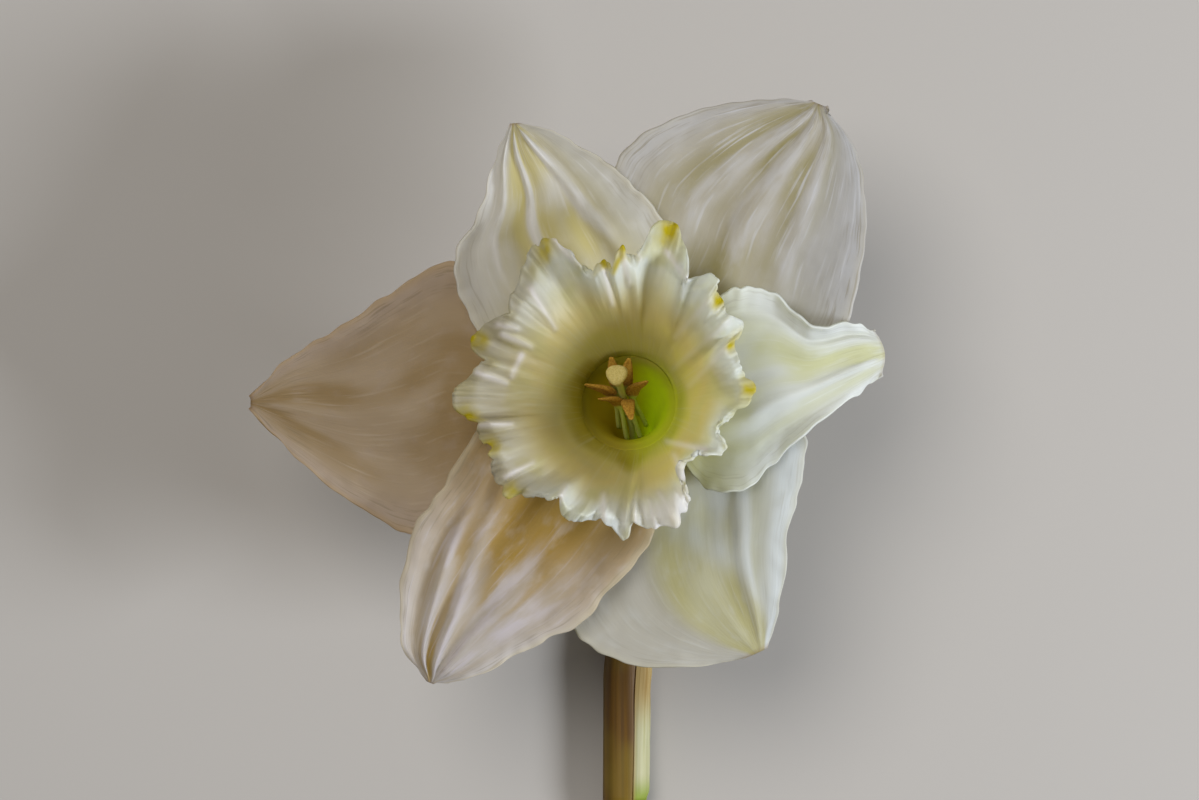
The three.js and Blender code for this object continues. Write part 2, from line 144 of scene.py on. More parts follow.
def finish_piece(bm, name, material, node, thickness=0.0):
    """Turns a mesh in millimetres into a piece in its place, and gives it a wall if asked."""
    for vert in bm.verts:
        vert.co = bloom_centre + vert.co * MM
    if not thickness:
        bmesh.ops.recalc_face_normals(bm, faces=bm.faces[:])
    mesh = bpy.data.meshes.new(name)
    bm.to_mesh(mesh)
    bm.free()
    mesh.shade_smooth()
    mesh.materials.append(material)
    piece = bpy.data.objects.new(name, mesh)
    bpy.context.collection.objects.link(piece)
    if thickness:
        wall = piece.modifiers.new("wall", "SOLIDIFY")
        wall.thickness = thickness * MM
        wall.offset = -1
    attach(piece, "root")
    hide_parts(node)
    return piece


def colour(code):
    """Linear RGBA of an sRGB hex colour."""
    parts = [int(code[i:i + 2], 16) / 255 for i in (1, 3, 5)]
    return [p / 12.92 if p <= 0.04045 else ((p + 0.055) / 1.055) ** 2.4 for p in parts] + [1.0]


def add_node(tree, kind, inputs=None, **settings):
    """Adds a node, sets it, and links or fills its inputs."""
    made = tree.nodes.new("ShaderNode" + kind)
    for key, value in settings.items():
        setattr(made, key, value)
    for socket, value in (inputs or {}).items():
        if isinstance(value, bpy.types.NodeSocket):
            tree.links.new(value, made.inputs[socket])
        else:
            made.inputs[socket].default_value = value
    return made


def new_material(name):
    """An empty material and its node tree."""
    material = bpy.data.materials.new(name)
    material.use_nodes = True
    material.node_tree.nodes.clear()
    return material, material.node_tree


def tinted(tree, skin, tint, *guides, most=1.0):
    """Lays a tint over a skin; both are hex codes or sockets. A guide is a socket with the values
    at which the tint starts and is full. All guides together set its strength, up to the most."""
    strength = most
    for socket, start, full in guides:
        reached = add_node(tree, "MapRange", {"Value": socket, "From Min": start, "From Max": full},
                           interpolation_type="SMOOTHSTEP")
        strength = add_node(tree, "Math", {0: reached.outputs["Result"], 1: strength},
                            operation="MULTIPLY").outputs[0]
    below, above = [colour(c) if isinstance(c, str) else c for c in (skin, tint)]
    return add_node(tree, "Mix", {0: strength, 6: below, 7: above}, data_type="RGBA").outputs[2]


def tissue_output(tree, surface_colour, glow_colour, glow, roughness, bump, bump_height):
    """Plant tissue: a soft sheen on top, and light that comes through from the other side."""
    relief = add_node(tree, "Bump", {"Height": bump, "Distance": bump_height * MM, "Strength": 1.0})
    body = add_node(tree, "BsdfPrincipled", {
        "Base Color": surface_colour, "Roughness": roughness, "IOR": 1.4,
        "Normal": relief.outputs[0]})
    through = add_node(tree, "BsdfTranslucent", {"Color": glow_colour, "Normal": relief.outputs[0]})
    both = add_node(tree, "MixShader", {0: glow, 1: body.outputs[0], 2: through.outputs[0]})
    add_node(tree, "OutputMaterial", {"Surface": both.outputs[0]})


axis = route([
    (STALK_X, CUT_END_Y, stalk_z),
    (STALK_X, -105.0, stalk_z),
    (STALK_X, -57.0, stalk_z),
    (STALK_X, -38.0, 3.9),
    (0.2, -25.0, 4.4),
    (0.9, -17.0, 7.4),
    (1.2, -12.8, 13.0),
    (1.1, -9.6, 20.0),
    (0.5, -4.8, 28.5),
    (-0.15, -1.55, 35.2),
    (MOUTH.x, MOUTH.y - 0.02, MOUTH.z - 1.3),
    (MOUTH.x, MOUTH.y, MOUTH.z),
])
TUBE_LENGTH = 20.5
OVARY_LENGTH = 10.0
tube_start = axis[1][-1] - TUBE_LENGTH
ovary_start = tube_start - GAP - OVARY_LENGTH
stalk_length = ovary_start - GAP
node_at = NODE_Y - CUT_END_Y


def even_run(radius_a, y_a, radius_b, y_b, steps):
    """Evenly spaced outline points between two, without the first."""
    return [(radius_a + (radius_b - radius_a) * i / steps, y_a + (y_b - y_a) * i / steps)
            for i in range(1, steps + 1)]


def stalk_green(name, bronze, cut):
    """Living stalk skin: waxy green with fine darker lines, bronzed where the bract dried on it."""
    material, tree = new_material(name)
    reach = add_node(tree, "Attribute", attribute_name="reach").outputs["Fac"]
    straight = add_node(tree, "Attribute", attribute_name="straight").outputs["Vector"]
    along = add_node(tree, "SeparateXYZ", {0: straight}).outputs["Y"]
    lines = add_node(tree, "Mapping", {"Vector": straight, "Scale": (1 / 0.9, 1 / 45, 1 / 0.9)})
    fibre = add_node(tree, "TexNoise", {"Vector": lines.outputs[0], "Scale": 1.0, "Detail": 3.0}).outputs[0]
    broad = add_node(tree, "TexNoise", {"Vector": straight, "Scale": 1 / 14, "Detail": 2.0}).outputs[0]
    fresh = tinted(tree, "#7d8c34", "#9aa648", (fibre, 0.35, 0.7))
    aged = tinted(tree, "#543706", "#6c4a0a", (fibre, 0.35, 0.7))
    skin = tinted(tree, fresh, aged, (reach, 0.51, 0.58), (reach, 0.98, 0.86), most=bronze)
    skin = tinted(tree, skin, "#887826", (broad, 0.4, 0.7), most=0.35)
    skin = tinted(tree, skin, "#c6d09a", (along, 0.4, 0.05), most=cut)
    tissue_output(tree, skin, colour("#a8ad3c"), 0.12, 0.42, fibre, 0.05)
    return material


wide = SCAPE_WIDTH / 2
stalk = lathe(
    [(0.0, PITH_DEPTH), (PITH_RADIUS, PITH_DEPTH), (PITH_RADIUS, 0.4), (PITH_RADIUS + 0.3, 0.0),
     (wide - 0.35, 0.0), (wide - 0.08, 0.12), (wide, 0.45)]
    + even_run(wide, 0.45, wide, node_at - 1.5, 30)
    + [(wide - 0.12, node_at - 0.9), (wide - 0.4, node_at - 0.3), (SHOULDER_RADIUS, node_at + 0.1)]
    + even_run(SHOULDER_RADIUS, node_at + 0.1, SHOULDER_RADIUS - 0.1, node_at + TAPER_FROM, 20)
    + even_run(SHOULDER_RADIUS - 0.1, node_at + TAPER_FROM, NECK_RADIUS, node_at + TAPER_TO, 16)
    + even_run(NECK_RADIUS, node_at + TAPER_TO, NECK_RADIUS, stalk_length - 4, 30)
    + even_run(NECK_RADIUS, stalk_length - 4, NECK_RADIUS * 1.08, stalk_length - 0.1, 6)
    + [(0.0, stalk_length)], ROUND_SIDES)
squash = SCAPE_HEIGHT / SCAPE_WIDTH
for vert in stalk.verts:
    turn = math.atan2(vert.co.z, vert.co.x)
    rib = 1 + 0.006 * math.sin(9 * turn) + 0.005 * math.sin(14 * turn + 1)
    past = vert.co.y - node_at
    shift = NECK_SHIFT * eased(past, -0.6, 0) * eased(past, TAPER_TO, TAPER_FROM)
    vert.co.x = vert.co.x * rib - shift
    vert.co.z = vert.co.z * rib + shift / squash
bend_onto(stalk, axis, squash=squash)
finish_piece(stalk, "stalk", stalk_green("stalk_skin", bronze=1.0, cut=1.0), "scape")

# ------------------------------------------------------------------ papery bract
# The bract that wrapped the bud has dried to a thin tan sheath against the right and under
# side of the neck. It grows from the node and spreads on the surface behind the bloom.
BRACT_WALL = 0.3
BRACT_END_Y = -7.0
bract_base = SHOULDER_RADIUS + GAP


def bract_point(u, v):
    """Place on the bract: u from the node to its tip, v round the neck. Its half width and half
    height, its middle and the angles of its two edges are given at seven places on the way."""
    half_width = smooth([bract_base, bract_base, 3.95, 4.9, 7.8, 7.8, 0.9], u)
    half_height = smooth([3.1, 3.1, 3.15, 3.4, 3.9, 3.6, 1.6], u)
    middle_x = smooth([-0.65, -0.65, -0.65, -0.4, 0, 0, 0], u)
    middle_z = smooth([3.72, 3.72, 4, 3.5, 2.6, 2, 1.6], u)
    start = smooth([66, 62, 58, 50, 26, 6, -40], u)
    end = smooth([-125, -125, -128, -140, -165, -180, -140], u)
    angle = math.radians(start + (end - start) * v)
    fold = 1 + 0.03 * math.sin(math.pi * u) * math.cos(9 * angle)
    crinkle = noise.noise(Vector((angle * 2.2, u * 5, 3.1))) * 0.35
    crinkle += noise.noise(Vector((angle * 7, u * 14, 7.7))) * (0.12 + 0.3 * eased(u, 0.26, 0.4))
    held = max(eased(v, 0.14, 0), eased(u, 0.03, 0))
    crinkle = abs(crinkle) * min(u * 4, 1) * (1 - held) - 0.5 * held
    x = middle_x + (half_width * fold + crinkle) * math.cos(angle)
    z = middle_z + (half_height * fold + crinkle) * math.sin(angle)
    y = NODE_Y + GAP + (BRACT_END_Y - NODE_Y - GAP) * u
    return Vector((x, y, max(z, 2 * BRACT_WALL)))


def blade(surface, along, across, across_mm, along_mm, ring=False, ridges=None):
    """Thin sheet from a surface of u and v, each 0 to 1, in so many faces along and across. It has
    its own map in millimetres, and tells its material how far along and in from the edge each
    point is, and how much painted highlight it takes on a crest. A ring is closed across."""
    bm = bmesh.new()
    flat = bm.loops.layers.uv.new("leaf")
    reach = bm.verts.layers.float.new("reach")
    inset = bm.verts.layers.float.new("inset")
    painted_highlight = bm.verts.layers.float.new("painted_highlight")
    bmesh.ops.create_grid(bm, x_segments=along, y_segments=across, size=0.5)
    for face in bm.faces:
        for loop in face.loops:
            u, v = loop.vert.co.x + 0.5, loop.vert.co.y + 0.5
            loop[flat].uv = ((v - 0.5) * across_mm, u * along_mm)
    for vert in bm.verts:
        u, v = min(max(vert.co.x + 0.5, 0.0), 1.0), min(max(vert.co.y + 0.5, 0.0), 1.0)
        vert[reach] = u
        vert[inset] = 1.0 if ring else 1 - abs(2 * v - 1)
        vert[painted_highlight] = ridges(u, v) if ridges else 0.0
        vert.co = surface(u, v)
    if ring:
        bmesh.ops.remove_doubles(bm, verts=bm.verts[:], dist=1e-4)
    return bm


def dry_bract():
    """Dead bract: matt tan paper with long brown fibres and paler folds, thin enough to glow."""
    material, tree = new_material("dry_bract_paper")
    leaf = add_node(tree, "UVMap", uv_map="leaf").outputs[0]
    reach = add_node(tree, "Attribute", attribute_name="reach").outputs["Fac"]
    inset = add_node(tree, "Attribute", attribute_name="inset").outputs["Fac"]
    lines = add_node(tree, "Mapping", {"Vector": leaf, "Scale": (1 / 1.3, 1 / 30, 1)})
    fibre = add_node(tree, "TexNoise", {"Vector": lines.outputs[0], "Scale": 1.0, "Detail": 4.0}).outputs[0]
    dry = tinted(tree, "#98793c", "#c8b078", (fibre, 0.3, 0.7))
    sappy = tinted(tree, "#b7b684", "#d6d6b0", (fibre, 0.3, 0.7))
    paper = tinted(tree, sappy, dry, (reach, 0.17, 0.32))
    paper = tinted(tree, paper, "#93a83c", (reach, 0.08, 0.0))
    paper = tinted(tree, paper, "#b0925a", (inset, 0.12, 0.0), most=0.6)
    tissue_output(tree, paper, colour("#c9a45c"), 0.35, 0.7, fibre, 0.12)
    return material


bract = blade(bract_point, along=90, across=80, across_mm=24, along_mm=50)
finish_piece(bract, "bract", dry_bract(), "spathe", BRACT_WALL)

# ------------------------------------------------------------------ ovary
# The green swelling behind the bloom, where the seeds form. It has three rounded angles, and
# it grew on the end of the neck.
OVARY_RADIUS = 4.1
ovary_flare = [NECK_RADIUS * 0.95, 3.4, 4.0, OVARY_RADIUS, 4.0, 3.6, 3.3]
ovary_reach = OVARY_LENGTH + 2 * GAP
ovary = lathe([(0.0, 0.0)] + [(smooth(ovary_flare, i / 24), ovary_reach * i / 24) for i in range(25)]
              + [(0.0, ovary_reach)], ROUND_SIDES)
for vert in ovary.verts:
    swell = 1 + 0.05 * math.cos(3 * math.atan2(vert.co.x, vert.co.z))
    vert.co.x *= swell
    vert.co.z *= swell
bend_onto(ovary, axis, start=ovary_start - GAP)
finish_piece(ovary, "ovary_body", stalk_green("ovary_skin", bronze=0.0, cut=0.0), "ovary")

# ------------------------------------------------------------------ floral tube
# The funnel between ovary and petals: pale yellow-green tissue that lets light through its wall,
# painted brighter on its right side and darker on its left. The petals and the cup grow from its mouth.
MOUTH_RADIUS = 7.8
TUBE_WALL = 0.8
TUBE_FLOOR = 1.2
TUBE_STEPS = 40
# Across the bloom, in millimetres from its centre: where the green turns from painted shade on the left to
# painted light on the right.
PAINTED_LIGHT_SIDE = (-2.5, 4.5)
tube_flare = [2.5, 2.7, 3.2, 4.0, 5.2, 6.6, MOUTH_RADIUS]
tube_outside = [(smooth(tube_flare, i / TUBE_STEPS) + TUBE_WALL, TUBE_LENGTH * i / TUBE_STEPS)
                for i in range(TUBE_STEPS + 1)]
tube_inside = [(smooth(tube_flare, i / TUBE_STEPS),
                TUBE_FLOOR + (TUBE_LENGTH - TUBE_FLOOR) * i / TUBE_STEPS)
               for i in range(TUBE_STEPS + 1)]


def sideways(tree, start, full, way="X"):
    """A guide that runs across the bloom, between two distances from its centre."""
    place = add_node(tree, "TexCoord").outputs["Object"]
    across = add_node(tree, "SeparateXYZ", {0: place}).outputs[way]
    centre = bloom_centre["XYZ".index(way)]
    return across, centre + start * MM, centre + full * MM


def throat_green():
    """Throat tissue: juicy yellow-green that lets light through, darker olive deeper down. Its colour
    carries painted light and shade: brighter on the right, dark olive on the left, and pale at the top of
    the mouth.
    """
    material, tree = new_material("throat_tissue")
    reach = add_node(tree, "Attribute", attribute_name="reach").outputs["Fac"]
    place = add_node(tree, "TexCoord").outputs["Object"]
    grain = add_node(tree, "TexNoise", {"Vector": place, "Scale": 1 / (1.5 * MM), "Detail": 3.0}).outputs[0]
    painted_light_side = sideways(tree, *PAINTED_LIGHT_SIDE)
    near_mouth = (reach, 0.74, 0.96)
    # Painted light and shade: the skin is brighter yellow-green on the right and darker olive on the left,
    # near the mouth too.
    skin = tinted(tree, "#bcac26", "#d4e01c", painted_light_side)
    skin = tinted(tree, skin, "#8c8418", (reach, 0.6, 0.2))
    skin = tinted(tree, skin, "#a5a33a", (grain, 0.35, 0.7), most=0.25)
    skin = tinted(tree, skin, tinted(tree, "#a5942c", "#bcc426", painted_light_side), near_mouth)
    # Painted light: a pale yellow patch at the top of the tube's mouth, where it lies in shade.
    skin = tinted(tree, skin, "#e8d878", (reach, 0.78, 0.95), sideways(tree, 2.5, 6.0, "Y"), most=0.9)
    # The light that comes through is also painted brighter on the right side.
    through = tinted(tree, "#ccb81a", "#e0f400", painted_light_side)
    through = tinted(tree, through, "#d0d04c", near_mouth)
    thin = add_node(tree, "MapRange", {"Value": reach, "From Min": 0.74, "From Max": 0.96,
                                       "To Min": 0.6, "To Max": 0.2}, interpolation_type="SMOOTHSTEP")
    tissue_output(tree, skin, through, thin.outputs["Result"], 0.8, grain, 0.02)
    return material


tube = lathe([(0.0, 0.0)] + tube_outside + tube_inside[::-1] + [(0.0, TUBE_FLOOR)], sides=72)
bend_onto(tube, axis, start=tube_start)
finish_piece(tube, "throat_funnel", throat_green(), "floral_tube")

# ------------------------------------------------------------------ petals
# Six white petals in two rings of three, the inner ring lying over the outer. Each is a thin
# satin blade with fine lengthwise veins, folds that run to its tip and a slightly ragged edge.
PETAL_WALL = 0.45
PETAL_RING = 8.1
PLAIN_FOOT = 0.3
RAGGED_EDGE = 0.7


def ring_point(degrees):
    """Place on the ring where the petals grow from the tube's mouth."""
    angle = math.radians(degrees)
    return Vector((MOUTH.x + PETAL_RING * math.cos(angle), MOUTH.y + PETAL_RING * math.sin(angle)))


def petal_surface(petal, seed):
    """The surface of a petal: u from the ring to its tip, v from its before to its after edge."""
    after = [ring_point(petal["facing"] + petal["spread"])] + [Vector(p) for p in petal["after"]]
    before = [ring_point(petal["facing"] - petal["spread"])] + [Vector(p) for p in petal["before"]]
    facing = math.radians(petal["facing"])
    bow = PETAL_RING * (1 - math.cos(math.radians(petal["spread"])))
    pleat_height, pleat_count, pleat_phase = petal["pleats"]
    frill_height, frill_count, frill_phase = petal["frill"]

    def point(u, v):
        across = 2 * v - 1
        grown = min(u / PLAIN_FOOT, 1)
        ragged = RAGGED_EDGE * noise.noise(Vector((u * 20, across * 3, seed))) * abs(across) ** 5 * grown
        a = smooth(before, u)
        b = smooth(after, u)
        bulge = bow * max(1 - u / 0.35, 0) ** 2 * (1 - across ** 2)
        flat = a + (b - a) * (v + ragged / max((b - a).length, 4.0) * across)
        body = math.sin(math.pi * min(u + 0.06, 1)) ** 0.8
        z = smooth(petal["heights"], u)
        z += grown * (petal["cup"] * across ** 2 + petal["tilt"] * across) * body
        z += pleat_height * body * grown * math.cos(math.pi * pleat_count * across + pleat_phase)
        z += frill_height * across ** 4 * grown * math.sin(math.tau * frill_count * u + frill_phase)
        for fold_tip, fold_heart, fold_height, fold_width in petal["folds"]:
            centre = fold_heart + (fold_tip - fold_heart) * u
            off = (v - centre) / fold_width
            z += fold_height * math.exp(-off * off) * grown * min((1 - u) / 0.12, 1)
        z += 0.16 * grown * noise.noise(Vector((v * 13, u * 4, seed))) * body
        z += 0.35 * grown * noise.noise(Vector((flat.x * 0.16, flat.y * 0.16, seed)))
        z += 0.25 * grown * abs(across) ** 3 * noise.noise(Vector((flat.x * 0.5, flat.y * 0.5, seed)))
        nose = petal.get("nose", 0) * eased(u, 0.8, 1) * (1 - across ** 2)
        return Vector((flat.x + (bulge + nose) * math.cos(facing),
                       flat.y + (bulge + nose) * math.sin(facing), z))

    return point


def petal_ridges(petal):
    """How much painted highlight each point of a petal takes where it lies on top of one of its folds."""
    def painted_highlight(u, v):
        most = 0.0
        for fold_tip, fold_heart, fold_height, fold_width in petal["folds"]:
            off = (v - fold_heart - (fold_tip - fold_heart) * u) / fold_width
            most = max(most, math.exp(-off * off) * eased(fold_height, 0.1, 0.5))
        return most * eased(u, 0.36, 0.62) * eased(u, 1.0, 0.9)

    return painted_highlight


def petal_tissue(name, look):
    """Petal tissue: satin white with soft lengthwise tones, fine veins and a warmer heart. It
    darkens in hairlines near its rim, and dries brown at the very tip. Its fold crests take a painted
    highlight, and its sides lay zones of painted light and shade across it."""
    material, tree = new_material(name)
    leaf = add_node(tree, "UVMap", uv_map="leaf").outputs[0]
    across = add_node(tree, "SeparateXYZ", {0: leaf}).outputs["X"]
    reach = add_node(tree, "Attribute", attribute_name="reach").outputs["Fac"]
    inset = add_node(tree, "Attribute", attribute_name="inset").outputs["Fac"]
    painted_highlight = add_node(tree, "Attribute", attribute_name="painted_highlight").outputs["Fac"]

    def grain(across_mm, along_mm, detail):
        spread = add_node(tree, "Mapping", {"Vector": leaf, "Location": (look["shift"], 0, 0),
                                            "Scale": (1 / across_mm, 1 / along_mm, 1)})
        return add_node(tree, "TexNoise", {"Vector": spread.outputs[0], "Scale": 1.0,
                                           "Detail": detail}).outputs[0]

    tone = grain(8, 15, 1.5)
    vein = grain(0.75, 9, 3.0)
    mottle = grain(3.0, 4.0, 3.0)
    # The band stays off the fold crests, which take a painted highlight further down.
    skin = tinted(tree, look["body"], look["band"],
                  (tone, 0.34, 0.62), (inset, 0.05, 0.75), (painted_highlight, 0.6, 0.1))
    skin = tinted(tree, skin, look["pale"], (inset, 0.4, 0.05), most=0.6)
    # Zones of painted light and shade on one side of the petal.
    for low, high, slant, share, tint in look["sides"]:
        painted_light_zone = add_node(tree, "Math", {0: reach, 1: -slant, 2: across}, operation="MULTIPLY_ADD").outputs[0]
        skin = tinted(tree, skin, tint, (painted_light_zone, low, high), most=share)
    skin = tinted(tree, skin, look["heart"], (reach, look["heart_to"], 0.1))
    # Painted highlight: a pale, broken streak along the crests of the folds.
    ridge_highlight = add_node(tree, "Math", {0: painted_highlight, 1: look["ridge_highlight"]}, operation="MULTIPLY").outputs[0]
    skin = tinted(tree, skin, look["vein"], (grain(2.2, 6.0, 2.5), 0.36, 0.62), most=ridge_highlight)
    skin = tinted(tree, skin, look["pale"], (mottle, 0.5, 0.75), most=0.25)
    skin = tinted(tree, skin, look["vein"], (vein, 0.54, 0.74), (reach, 0.15, 0.8), most=look["veins"])
    by_tip, by_edge = [
        add_node(tree, "MapRange", {"Value": guide, "From Min": start, "From Max": full,
                                    "To Max": 0.8 * look["veins"]}, interpolation_type="SMOOTHSTEP")
        for guide, start, full in ((reach, 0.68, 0.95), (inset, 0.34, 0.02))]
    rim = add_node(tree, "Math", {0: by_tip.outputs["Result"], 1: by_edge.outputs["Result"]},
                   operation="MAXIMUM").outputs[0]
    skin = tinted(tree, skin, "#83765c", (grain(0.42, 6.0, 2.0), 0.53, 0.66), most=rim)
    skin = tinted(tree, skin, look["edge"], (inset, 0.1, 0.0), most=0.5)
    skin = tinted(tree, skin, "#8a6238", (reach, 0.975, 1.0), most=look["tip"])
    relief = add_node(tree, "Math", {0: vein, 1: mottle}, operation="ADD").outputs[0]
    through = tinted(tree, skin, look["glow"], most=0.6)
    tissue_output(tree, skin, through, look["thin"], 0.55, relief, 0.04)
    return material


# Each petal gives: the way it faces, and how far to each side of that it takes up the ring, in
# degrees; its two edges and its heights from the ring to the tip, in millimetres from the
# bloom's centre; how it cups and tilts; its pleats and frills, each with a height, a count and a
# phase; its folds, each with its place at the tip and at the heart, its height and its width;
# its look; and its width and length. In a look, "veins" and "tip" are strengths, and so is the
# ridge one, of a painted highlight along the crests of the folds; "shift" moves the veins across,
# "heart_to" is how far up the heart's colour reaches, and "thin" how much light comes through.
# Its "sides" are zones of tint, mostly painted light and shade on one side of the petal: where
# each starts and is full across the petal, its slant, its strength and its colour. The petals are
# all of one white tissue, and their looks differ partly by painted light and shade.
PETALS = {
    "outer_petal_1": {
        "facing": 57, "spread": 50,
        "after": [(-2.5, 13), (-4, 21.5), (-4.2, 30), (-0.8, 38.7), (9.5, 44.6), (21.3, 46.8),
                  (28.8, 46.6)],
        "before": [(15, 1.4), (22.9, 3.6), (32.4, 7.9), (35.6, 16), (37.3, 26.9), (36, 37.9), (31, 45.7)],
        "heights": [38.3, 39.3, 40, 39.8, 38],
        "cup": 1.2, "tilt": 0, "pleats": (0.35, 2.5, 0.6), "frill": (0.4, 2, 0.3),
        "folds": [(0.5, 0.45, 0.5, 0.05), (0.35, 0.2, 0.4, 0.04), (0.6, 0.75, 0.4, 0.05)],
        # Its greyer colours are painted shade: this petal is as white as the others.
        "look": {
            "body": "#bfb9ae", "band": "#a2986a", "pale": "#cfcfd8", "heart": "#aca470",
            "vein": "#dfe0ea", "edge": "#cfcac0", "glow": "#cfc79c",
            "veins": 0.7, "shift": 0.0, "heart_to": 0.6, "tip": 0.3, "ridge_highlight": 0.5, "thin": 0.52,
            "sides": [(-4, -16, 0, 0.6, "#c4c6d0")],
        },
        "size": (45, 55),
    },
    "outer_petal_2": {
        "facing": 296, "spread": 50,
        "after": [(14.5, -2.2), (21.3, -2.4), (27.3, -5.5), (27.5, -12), (25.3, -20.5), (24, -31.6),
                  (21.8, -40.3)],
        "before": [(-5, -13.5), (-7.6, -20), (-10.1, -28.4), (-9.2, -36.3), (-2.8, -41.7), (7.9, -43.1),
                   (18.2, -41.9)],
        "heights": [38.3, 39.2, 39.6, 39, 36.5],
        "cup": 0.8, "tilt": 0, "pleats": (0.4, 2, 1.5), "frill": (0.5, 2.5, 1),
        "folds": [(0.75, 0.7, 0.5, 0.04), (0.55, 0.5, 0.3, 0.06)],
        "look": {
            "body": "#d2d5d6", "band": "#c4c2a4", "pale": "#d8dade", "heart": "#b4aa68",
            "vein": "#e0e1e0", "edge": "#d4d0c0", "glow": "#cfc890",
            "veins": 0.25, "shift": 4.0, "heart_to": 0.5, "tip": 0.4, "ridge_highlight": 0.3, "thin": 0.5,
            "sides": [(-20, -25, 40, 0.75, "#bdb680"), (-3, -8, 0, 0.7, "#c3c0c4"),
                      (13, 16, 0, 0.8, "#e4eaf2")],
        },
        "size": (38, 48),
    },
    "outer_petal_3": {
        "facing": 181, "spread": 50,
        "after": [(-12, -12), (-20.5, -17), (-28.4, -20.5), (-34.5, -21.8), (-42.4, -18.2), (-53, -10),
                  (-60.5, -1.9)],
        "before": [(-12, 11), (-20.5, 17), (-28, 21), (-36, 17.4), (-45, 11.4), (-54.3, 5.8),
                   (-60.5, -0.5)],
        "heights": [38.3, 39.3, 39.2, 37.5, 34],
        "cup": 0.8, "tilt": 0, "pleats": (0.3, 2, 0), "frill": (0.4, 2, 2),
        "folds": [(0.5, 0.5, 0.3, 0.07)],
        # Its tan colours are painted shade: this petal is as white as the others.
        "look": {
            "body": "#c4b297", "band": "#b0986e", "pale": "#cabcb2", "heart": "#ab8f5c",
            "vein": "#d8cab4", "edge": "#d4b98a", "glow": "#c8ae80",
            "veins": 0.6, "shift": 9.0, "heart_to": 0.5, "tip": 0.3, "ridge_highlight": 0.3, "thin": 0.55,
            "sides": [],
        },
        "size": (42, 60),
    },
    "inner_petal_1": {
        "facing": 113, "spread": 48,
        "after": [(-14.5, 3.8), (-21.3, 7.1), (-25.8, 13.3), (-27.5, 21), (-23.8, 28.2), (-21.8, 35.8),
                  (-18.9, 42.7)],
        "before": [(5.5, 11.5), (7.3, 18.5), (5.2, 26.8), (1.1, 32.2), (-4.7, 37), (-11.9, 41.4),
                   (-17.5, 42.8)],
        "heights": [39.5, 42.2, 43.6, 43.6, 42.5],
        "cup": 0.6, "tilt": 0, "pleats": (0.5, 3.5, 0.8), "frill": (0.5, 2, 0),
        "folds": [(0.62, 0.5, 0.6, 0.03), (0.82, 0.75, 0.5, 0.03), (0.4, 0.12, 0.8, 0.04)],
        "look": {
            "body": "#d8d6d2", "band": "#ccc288", "pale": "#dfdee2", "heart": "#c6bd84",
            "vein": "#efeef4", "edge": "#e6e2d8", "glow": "#ddd29a",
            "veins": 0.4, "shift": 14.0, "heart_to": 0.5, "tip": 0.5, "ridge_highlight": 0.75, "thin": 0.47,
            "sides": [(-3, -13, 0, 0.55, "#b0ac9e")],
        },
        "size": (33, 46),
    },
    "inner_petal_2": {
        "facing": 7, "spread": 48,
        "after": [(8.5, 10.5), (12.9, 14.8), (17.4, 16.9), (22.6, 15.5), (28.1, 10.8), (35, 11.3),
                  (38.5, 9.9)],
        "before": [(8.4, -10.4), (12.3, -14.7), (18.2, -14.9), (22.9, -10.3), (28.8, -4.8),
                   (35.4, -0.3), (39.5, 3.3)],
        "heights": [39.5, 42.4, 43.6, 43.4, 42],
        "cup": 0.9, "tilt": 1.2, "pleats": (0.4, 2.5, 2), "frill": (0.7, 3, 0.5), "nose": 1.1,
        "folds": [(0.84, 0.9, -0.6, 0.04), (1.0, 1.02, 0.9, 0.06), (0.4, 0.3, 0.4, 0.05)],
        "look": {
            "body": "#dddfde", "band": "#d4d4ac", "pale": "#e8eaee", "heart": "#d8d6a0",
            "vein": "#f2f4f8", "edge": "#e8eae6", "glow": "#dde0b8",
            "veins": 0.3, "shift": 19.0, "heart_to": 0.55, "tip": 0.3, "ridge_highlight": 0.4, "thin": 0.42,
            "sides": [],
        },
        "size": (32, 40),
    },
    "inner_petal_3": {
        "facing": 235, "spread": 48,
        "after": [(3, -14.5), (3.5, -22.3), (-2.4, -30.3), (-9.5, -36.7), (-17.4, -40.6),
                  (-25.3, -44.6), (-31, -45.7)],
        "before": [(-15, -3.2), (-22.9, -4.7), (-28.6, -13.1), (-33.2, -19.8), (-35.7, -29.2),
                   (-36, -38.7), (-32.2, -45.2)],
        "heights": [39.5, 42.2, 43.2, 42.4, 40.2],
        "cup": 0.6, "tilt": 0, "pleats": (0.4, 4.5, 0.4), "frill": (0.4, 2.5, 1.2),
        "folds": [(0.38, 0, 0.7, 0.035), (0.6, 0.05, 0.8, 0.045), (0.7, 0.51, 0.7, 0.07),
                  (0.75, 0.88, 0.6, 0.07)],
        "look": {
            "body": "#ccc6c2", "band": "#b2954e", "pale": "#e2e0e6", "heart": "#a5822e",
            "vein": "#d8d2dc", "edge": "#e0d6ba", "glow": "#d2c48e",
            "veins": 0.6, "shift": 24.0, "heart_to": 0.85, "tip": 0.3, "ridge_highlight": 0.8, "thin": 0.5,
            "sides": [(-5, -15, 0, 0.15, "#a98d54")],
        },
        "size": (36, 50),
    },
}
for number, (node, petal) in enumerate(PETALS.items()):
    across_mm, along_mm = petal["size"]
    tissue = petal_tissue(node + "_tissue", petal["look"])
    seed = 11.3 * number + 2
    sheet = blade(petal_surface(petal, seed), along=130, across=110, across_mm=across_mm,
                  along_mm=along_mm, ridges=petal_ridges(petal))
    finish_piece(sheet, node + "_blade", tissue, node, PETAL_WALL)

